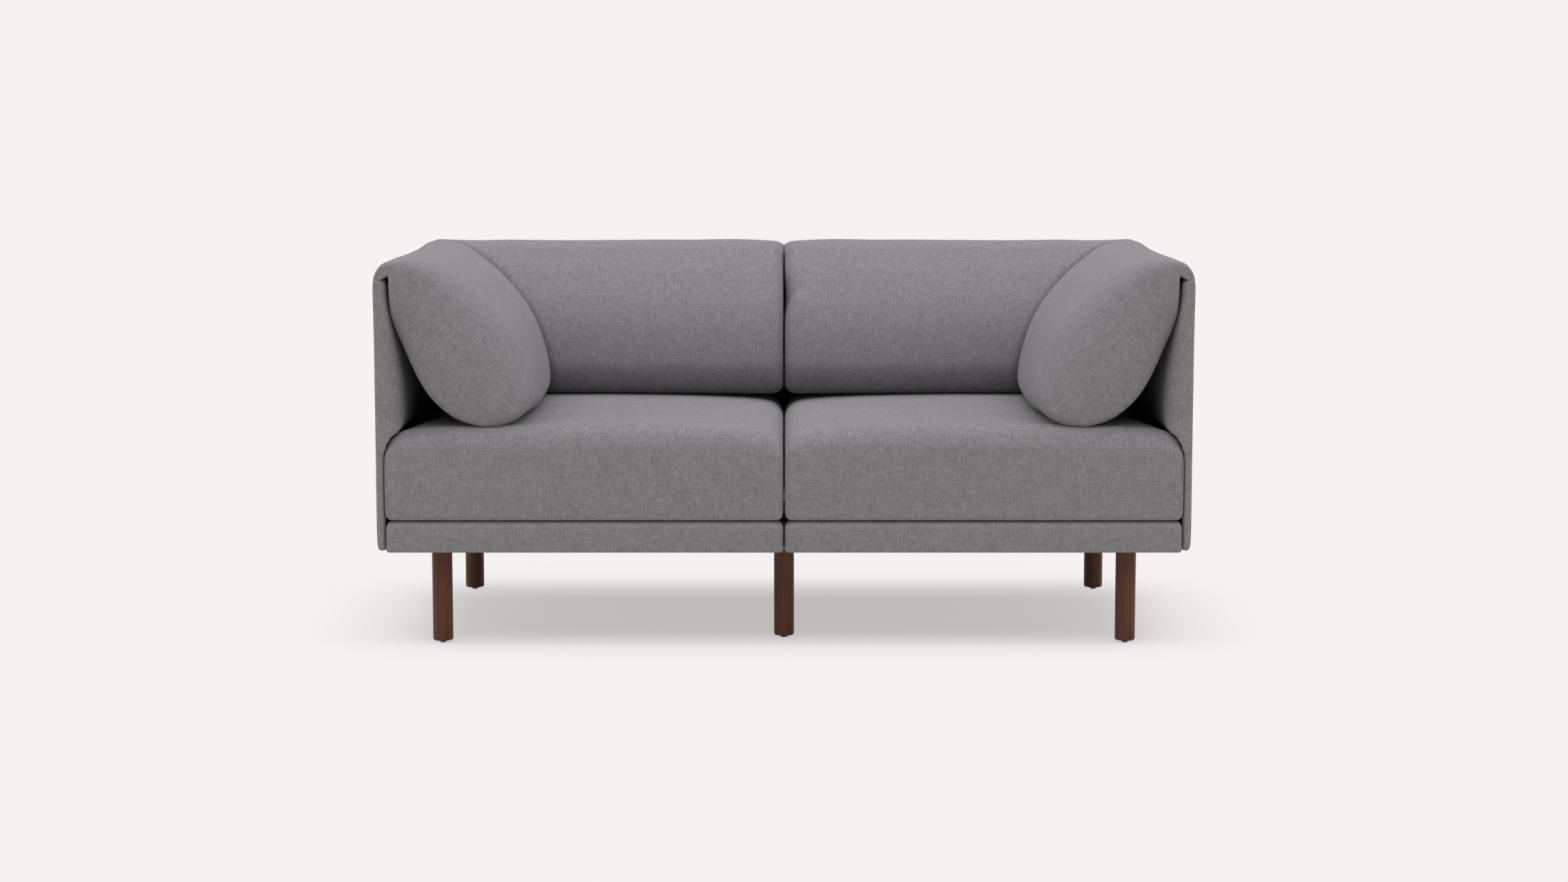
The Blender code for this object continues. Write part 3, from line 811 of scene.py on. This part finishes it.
# Inner side of a panel above its foot, as (away, height): a back's is flat, and an arm's has padding
# that swells out over the seat.
flat_side = (
    (panel_foot, 0.32), (panel_foot, 0.430), (panel_foot + 0.0004, 0.460),
    (panel_head - 0.0032, 0.60), (panel_head - 0.0006, 0.70),
)
padded_side = (
    (panel_foot, 0.32), (panel_foot, 0.380), (panel_foot + 0.0006, 0.3950),
    (0.0200, 0.4035), (0.0250, 0.4095), (0.0300, 0.4145), (0.0370, 0.4200), (0.0420, 0.4235),
    (0.0465, 0.4285), (0.0500, 0.4390), (0.0512, 0.4600), (0.0508, 0.4880), (0.0488, 0.5230),
    (0.0430, 0.5732), (0.0348, 0.6175), (0.0280, 0.6600), (0.0258, 0.6920),
)


def panel_sleeve(name, place, end, node_name, padded=False):
    """A thin upholstered panel; its free edge rolls in widely where nothing stands beside it."""
    rows, cross = 84, 8
    head = panel_head + (0.0016 if padded else 0.0)
    low, top = panel_low - 0.0016, panel_top + (0.0014 if padded else 0.0)
    inner_side = (
        (panel_foot - 0.0012, low + 0.0012),
        (panel_foot - 0.0001, low + 0.0045),
        (panel_foot, low + 0.020),
        *(padded_side if padded else flat_side),
        (head - 0.0010, top - 0.0060),
        (head - 0.0028, top - 0.0012),
    )
    head_side = ((head - 0.0060, top), (0.0040, top), (0.0006, top))
    outer_side = (
        (0.0000, top - 0.0006),
        (0.0000, 0.60),
        (0.0000, 0.40),
        (0.0000, low + 0.024),
        (0.0008, low + 0.0100),
        (0.0032, low + 0.0028),
    )
    foot_side = ((0.0070, low + 0.0001), (panel_foot - 0.0050, low + 0.0001))
    corners = np.cumsum([0, len(inner_side) - 1, len(head_side), len(outer_side)])
    loop = four_sided(inner_side + head_side + outer_side + foot_side, corners, rows, cross)
    middle = 0.0110 if padded else 0.0100
    spine = (
        (panel_foot / 2, low + 0.0085),
        (panel_foot / 2, 0.40),
        (middle, 0.47),
        (middle, 0.62),
        (panel_head / 2, top - 0.009),
    )
    inward, room = towards_line(loop, spine)
    around = loop_lengths(loop)
    # 1 on the inner side, and 1 above the seat's edge.
    inner = smoothstep(0.0095, 0.0150, loop[:, 0])
    free = smoothstep(0.395, 0.440, loop[:, 1])
    inset = np.minimum(0.0088 + inner * (0.0022 * free - 0.0030 * (1 - free)), 0.92 * room)
    reach = 0.0100 + inner * 0.012 * free
    if padded:
        # The front corner flares where it meets the seat's rolled corner.
        meeting = smoothstep(0.380, 0.394, loop[:, 1]) * smoothstep(0.440, 0.415, loop[:, 1])
        inset *= 1 - 1.65 * inner * meeting
        swell = inner * free * smoothstep(0.012, 0.030, room)
        inset += (0.93 * room - inset) * swell
        reach += 0.036 * swell * smoothstep(0.410, 0.480, loop[:, 1])
    near_top = smoothstep(top - 0.012, top - 0.003, loop[:, 1])
    inward = turned_sideways(loop, inward, near_top)
    if padded:
        # The padding's underside follows the seat, so that it rolls in sideways only.
        under = smoothstep(0.480, 0.440, loop[:, 1]) * smoothstep(0.0175, 0.0220, loop[:, 0])
        inward = inward + (np.array([-1.0, 0.0]) - inward) * under[:, None]
    last_turn = math.radians(80)
    roll_steps, stations = 7, 24
    start = loop[:, 0] + mitre_gap
    rings = [(loop, start + (end - reach - start) * k / stations) for k in range(stations + 1)]
    for k in range(1, roll_steps + 1):
        turn = last_turn * k / roll_steps
        section = loop + inward * (inset * (1 - math.cos(turn)))[:, None]
        rings.append((section, end - reach + reach * math.sin(turn)))
    uvs = [np.stack([np.append(run, run[0]), -around], -1) for _, run in rings]
    shell = Shell()
    indices = shell.skin([place(run, *section.T) for section, run in rings], uvs)
    for which in (0, -1):
        section, run = rings[which]
        grid = coons(np.concatenate([section, run[:, None]], 1), rows, cross)
        flat = grid.reshape(-1, 3)
        points = place(flat[:, 2], flat[:, 0], flat[:, 1]).reshape(rows + 1, cross + 1, 3)
        shell.cap(indices[which], points, grid[..., :2], rows, cross)
    made = shell.finish(name, fabric)
    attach(made, "frame")
    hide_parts(node_name)


def rounded_rectangle(low, high, radius, rows, cross):
    """A rectangle with round corners, in four sides that start in the middle of its corners."""
    facets = 5
    points = []
    corners = (
        (high[0] - radius, low[1] + radius, -90),
        (high[0] - radius, high[1] - radius, 0),
        (low[0] + radius, high[1] - radius, 90),
        (low[0] + radius, low[1] + radius, 180),
    )
    for x, y, start in corners:
        for i in range(facets + 1):
            turn = math.radians(start + 90 * i / facets)
            points.append((x + radius * math.cos(turn), y + radius * math.sin(turn)))
    starts = [facets // 2 + (facets + 1) * k for k in range(4)]
    return np.roll(in_sides(np.array(points), starts, (cross, rows, cross, rows)), -cross, 0)


def base_upholstery(name, side, node_name):
    """The upholstered box of the base, open below, where its cloth turns in round the rails."""
    rows, cross = 60, 60
    foot_steps, wall_steps, top_steps = 5, 8, 7
    low, high = base_box
    top_radius, foot_radius, plan_radius = 0.0170, 0.0042, 0.0085
    # Thickness of the padding at the sides and on top.
    wall, deck = 0.006, 0.0045
    upright = high.z - top_radius - low.z - foot_radius
    # Rings as (inset, height): down the inner side, round the foot, up the wall and round the top.
    levels = [
        (wall, high.z - deck),
        (wall, low.z + 0.0045),
        (wall - 0.0006, low.z + 0.0018),
        (wall - 0.0020, low.z + 0.0004),
    ]
    for k in range(foot_steps + 1):
        turn = quarter * k / foot_steps
        levels.append((foot_radius * (1 - math.sin(turn)), low.z + foot_radius * (1 - math.cos(turn))))
    for k in range(1, wall_steps):
        levels.append((0, low.z + foot_radius + upright * k / wall_steps))
    for k in range(top_steps + 1):
        turn = quarter * k / top_steps
        levels.append((top_radius * (1 - math.cos(turn)), high.z - top_radius * (1 - math.sin(turn))))
    rings = []
    loops = []
    for inset, height in levels:
        loop = rounded_rectangle(
            (low.x + inset, low.y + inset),
            (high.x - inset, high.y - inset),
            max(plan_radius - inset, 0.002),
            rows,
            cross,
        )
        # The two modules' covers meet behind their front corners.
        beside = smoothstep(low.x + 0.012, low.x, loop[:, 0])
        loop[:, 0] -= 0.0011 * beside * smoothstep(0.012, 0.045, loop[:, 1] - low.y)
        loops.append(loop)
        rings.append(np.stack([side * loop[:, 0], loop[:, 1], np.full(len(loop), height)], -1))
    around = loop_lengths(loops[len(loops) // 2])
    climbs = [0.0]
    for (inset, height), (next_inset, next_height) in zip(levels, levels[1:]):
        climbs.append(climbs[-1] + math.hypot(next_inset - inset, next_height - height))
    uvs = [np.stack([around, np.full(len(around), climb)], -1) for climb in climbs]
    shell = Shell()
    indices = shell.skin(rings, uvs)
    for which in (0, -1):
        grid = coons(loops[which], rows, cross)
        level = np.full(grid.shape[:2], levels[which][1])
        points = np.stack([side * grid[..., 0], grid[..., 1], level], -1)
        shell.cap(indices[which], points, grid, rows, cross)
    made = shell.finish(name, fabric)
    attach(made, "frame")
    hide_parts(node_name)


# Edges of turned pieces that are sharper than this stay so.
sharp_angle = math.radians(35)


def lathe(name, profile, centre, finish, node_name, facets=72):
    """A closed turned piece on the frame, from a profile of (radius, height) between two axis points."""
    bm = bmesh.new()
    rings = []
    for radius, height in profile:
        turns = [2 * math.pi * i / facets for i in range(facets)] if radius else [0]
        ring = [(radius * math.cos(turn), radius * math.sin(turn), height) for turn in turns]
        rings.append([bm.verts.new(point) for point in ring])
    for near, far in zip(rings, rings[1:]):
        for i in range(facets):
            j = (i + 1) % facets
            corners = [near[i % len(near)], near[j % len(near)], far[j % len(far)], far[i % len(far)]]
            bm.faces.new(list(dict.fromkeys(corners)))
    bmesh.ops.recalc_face_normals(bm, faces=bm.faces)
    mesh = bpy.data.meshes.new(name)
    bm.to_mesh(mesh)
    bm.free()
    mesh.shade_smooth()
    mesh.set_sharp_from_angle(angle=sharp_angle)
    mesh.materials.append(finish)
    made = new_object(name, mesh)
    made.location = (*centre, 0)
    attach(made, "frame")
    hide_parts(node_name)


def leg(stem):
    """A turned leg with its bored-in stud, and the domed glide nailed in its foot."""
    low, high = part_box(stem + "_leg")
    centre = ((low.x + high.x) / 2, (low.y + high.y) / 2)
    radius = (high.x - low.x) / 2
    edge, stud = 0.0028, 0.004
    # The wood ends under the join plate that both modules share, or under a leg board.
    join_plate, leg_board = 0.0033, 0.020
    shoulder = high.z - (join_plate if stem.startswith("centre") else leg_board)
    # The glide shows this much taller than its node.
    extra_glide = 0.0018
    foot = low.z + extra_glide
    edge_steps, wall_steps = 6, 4
    profile = [(0, foot)]
    for k in range(edge_steps + 1):
        turn = quarter * k / edge_steps
        profile.append((radius - edge * (1 - math.sin(turn)), foot + edge * (1 - math.cos(turn))))
    for k in range(1, wall_steps + 1):
        profile.append((radius, foot + edge + (shoulder - foot - edge) * k / wall_steps))
    profile += [(stud, shoulder), (stud, high.z), (0, high.z)]
    lathe(stem + "_turned_leg", profile, centre, walnut, stem + "_leg")
    flat, bulge = 0.0035, 0.0045
    glide_top = foot - 0.0001
    dome_steps = 7
    dome = [(0, 0), (flat, 0)]
    for k in range(1, dome_steps + 1):
        turn = quarter * k / dome_steps
        dome.append((flat + bulge * math.sin(turn), glide_top * (1 - math.cos(turn))))
    dome.append((0, glide_top))
    lathe(stem + "_foot_glide", dome, centre, nylon, stem + "_glide", facets=40)


def dress_frame():
    """Better materials on the frame's own solids that show from below or behind."""
    finishes = {
        "front_rail": timber_x,
        "rear_rail": timber_x,
        "inner_rail": timber_y,
        "outer_rail": timber_y,
        "leg_board": timber_x,
        "arm_panel_board": timber_y,
        "back_panel_board": timber_x,
        "strap": webbing,
        "dust_cover": lining,
        "join_plate": steel,
    }
    for name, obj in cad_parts.items():
        for part, finish in finishes.items():
            if part in name:
                obj.data.materials.clear()
                obj.data.materials.append(finish)


def seen_rays(tree):
    """1 for rays from the camera, straight or by way of gloss or glass, and 0 for all others."""
    path = node(tree, "ShaderNodeLightPath")
    shown = math_node(tree, "ADD", path.outputs["Is Camera Ray"], path.outputs["Is Glossy Ray"])
    return math_node(tree, "ADD", shown, path.outputs["Is Transmission Ray"], use_clamp=True)


def blended(tree, factor, first, second):
    """A colour between two colours or sockets."""
    mix = node(tree, "ShaderNodeMix", data_type="RGBA")
    feed(tree, mix.inputs[0], factor)
    for socket, value in zip([s for s in mix.inputs if s.type == "RGBA"], (first, second)):
        feed(tree, socket, value)
    return [s for s in mix.outputs if s.type == "RGBA"][0]


def pale_floor():
    """Floor that shows the backdrop's colour all over, and the sofa's shadow near it."""
    made = bpy.data.materials.new("pale_floor")
    made.use_nodes = True
    tree = made.node_tree
    tree.nodes.clear()
    split = node(tree, "ShaderNodeSeparateXYZ")
    feed(tree, split.inputs[0], object_vector(tree))
    fades = []
    for axis, way, near, far in shadow_fades:
        along = math_node(tree, "MULTIPLY", split.outputs[axis], way)
        if axis == 0:
            along = math_node(tree, "ABSOLUTE", along)
        limits = (near, far, 1.0, 0.0)
        fades.append(result(tree, "ShaderNodeMapRange", along, *limits, interpolation_type="SMOOTHSTEP"))
    depth = math_node(tree, "MULTIPLY", math_node(tree, "MULTIPLY", fades[0], fades[1]), fades[2])
    depth = math_node(tree, "MAXIMUM", depth, shadow_least)
    shown = seen_rays(tree)
    own = blended(tree, depth, (0, 0, 0), floor_color)
    diffuse = result(tree, "ShaderNodeBsdfDiffuse", blended(tree, shown, floor_bounce, own))
    left = [seen - color * floor_light for seen, color in zip(backdrop_color, floor_color)]
    glow = result(tree, "ShaderNodeEmission", blended(tree, depth, backdrop_color, left), shown)
    both = result(tree, "ShaderNodeAddShader", diffuse, glow)
    feed(tree, node(tree, "ShaderNodeOutputMaterial").inputs["Surface"], both)
    return made


def studio_world():
    """White light from the sky, behind the backdrop's colour."""
    world = bpy.data.worlds.new("studio")
    world.use_nodes = True
    tree = world.node_tree
    tree.nodes.clear()
    light = result(tree, "ShaderNodeBackground", (1, 1, 1), sky_strength)
    seen = result(tree, "ShaderNodeBackground", backdrop_color)
    either = result(tree, "ShaderNodeMixShader", seen_rays(tree), light, seen)
    feed(tree, node(tree, "ShaderNodeOutputWorld").inputs["Surface"], either)
    return world


def stage():
    """Pale floor, sky and lamps, and the photograph's camera."""
    bm = bmesh.new()
    bmesh.ops.create_grid(bm, x_segments=1, y_segments=1, size=floor_half)
    mesh = bpy.data.meshes.new("floor")
    bm.to_mesh(mesh)
    bm.free()
    mesh.materials.append(pale_floor())
    floor = new_object("floor", mesh)

    for name, strength, angle, tilt, turn in lamps:
        light = bpy.data.lights.new(name, "SUN")
        light.energy = strength
        light.angle = math.radians(angle)
        lamp = new_object(name, light)
        lamp.rotation_euler = (math.radians(tilt), 0, math.radians(turn))

    lens = bpy.data.cameras.new("photograph")
    lens.lens = camera_lens
    camera = new_object("photograph", lens)
    camera.location = camera_place
    camera.rotation_euler = (math.radians(90 - camera_pitch), 0, 0)
    bpy.context.scene.world = studio_world()
    bpy.context.scene.camera = camera
    bpy.context.scene.view_settings.view_transform = "Standard"


stage()
dress_frame()
for module, side in (("left", -1), ("right", 1)):
    base_upholstery(module + "_base_upholstery", side, module + "_base_cover")
    arm_side, back_side = arm_place(side), back_place(side)
    # The sleeves' ends stand a little proud of their nodes.
    arm_reach, back_reach = panel_arm_end + 0.0008, half_width + 0.0004
    panel_sleeve(module + "_arm_sleeve", arm_side, arm_reach, module + "_arm_panel_cover", padded=True)
    panel_sleeve(module + "_back_sleeve", back_side, back_reach, module + "_back_panel_cover")
    for part, place, end, form in (
        ("_arm", arm_side, arm_end, arm_form),
        ("_back", back_side, back_end, back_form),
    ):
        stem = module + part
        nodes = (stem + "_cushion", stem + "_cushion_flap")
        hung = hung_cushion(stem + "_hung_cushion", stem + "_pillow", nodes, place, end, form)
        if (module, part) == ("right", "_back"):
            fold_in(hung)
        subdivide(hung)
    subdivide(seat_cushion(module + "_seat_pad", side, module + "_seat", module + "_seat_cushion"))
for stem in ("left_front", "left_rear", "right_front", "right_rear", "centre_front", "centre_rear"):
    leg(stem)
